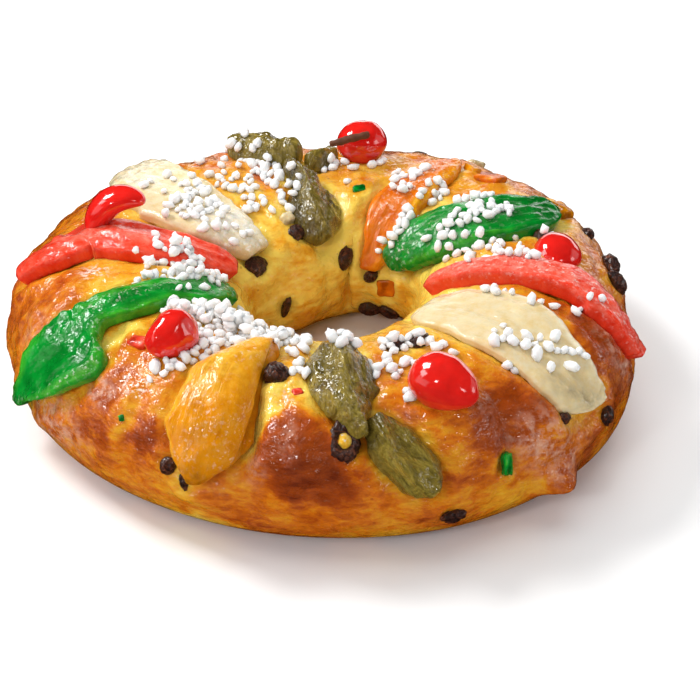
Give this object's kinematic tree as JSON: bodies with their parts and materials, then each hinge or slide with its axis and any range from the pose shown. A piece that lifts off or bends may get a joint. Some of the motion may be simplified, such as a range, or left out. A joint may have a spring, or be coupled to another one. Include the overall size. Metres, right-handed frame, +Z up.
{
  "type": "roscon de reyes",
  "caption": "Baked ring of sweet dough topped with candied fruit slabs, glace cherries, raisins and pearl sugar, resting on its flat underside.",
  "frame": {"origin": "on the resting surface, under the middle of the whole ring's bounding box", "axes": "+Z up out of the crown, -Y towards the front with the orange segment, +X to the right seen from the front"},
  "size_m": [0.2369, 0.2338, 0.075],
  "materials": {
    "crust": "egg-washed golden brown crust",
    "candied_red": "glossy translucent candied fruit",
    "candied_green": "glossy translucent candied fruit",
    "candied_melon": "waxy pale candied fruit",
    "candied_orange": "glossy translucent candied peel",
    "candied_amber": "glossy translucent candied orange",
    "candied_fig": "wet olive-brown candied fruit",
    "cherry": "very glossy syrup-soaked cherry",
    "raisin": "wrinkled, slightly sticky",
    "stalk": "dry brown"
  },
  "bodies": {
    "root": {"dough": "crust", "strip_red_left": "candied_red", "strip_red_right": "candied_red", "strip_green_left": "candied_green", "strip_green_right": "candied_green", "strip_cream_back": "candied_melon", "strip_cream_right": "candied_melon", "strip_orange_back": "candied_orange", "orange_segment": "candied_amber", "fig_front_upper": "candied_fig", "fig_front_lower": "candied_fig", "fig_back_left": "candied_fig", "fig_back_right": "candied_fig", "fig_back_lower": "candied_fig", "cherry_front_right": "cherry", "cherry_front_left": "cherry", "cherry_back_left": "cherry", "cherry_back": "cherry", "cherry_right": "cherry", "dice_green_front": "candied_green", "dice_green_back": "candied_green", "dice_red_left": "candied_red", "dice_melon_back": "candied_melon", "dice_melon_far": "candied_melon", "dice_amber_far": "candied_amber", "dice_amber_right": "candied_amber", "dice_orange_far": "candied_orange", "dice_orange_inner": "candied_orange", "raisin_01": "raisin", "raisin_02": "raisin", "raisin_03": "raisin", "raisin_04": "raisin", "raisin_05": "raisin", "raisin_06": "raisin", "raisin_07": "raisin", "raisin_08": "raisin", "raisin_09": "raisin", "raisin_10": "raisin", "raisin_11": "raisin", "raisin_12": "raisin", "raisin_13": "raisin", "raisin_14": "raisin", "raisin_15": "raisin", "raisin_16": "raisin", "raisin_17": "raisin", "raisin_18": "raisin", "dried_fruit_ring": "raisin", "dried_fruit_centre": "candied_amber", "stalk": "stalk"}
  },
  "joints": []
}
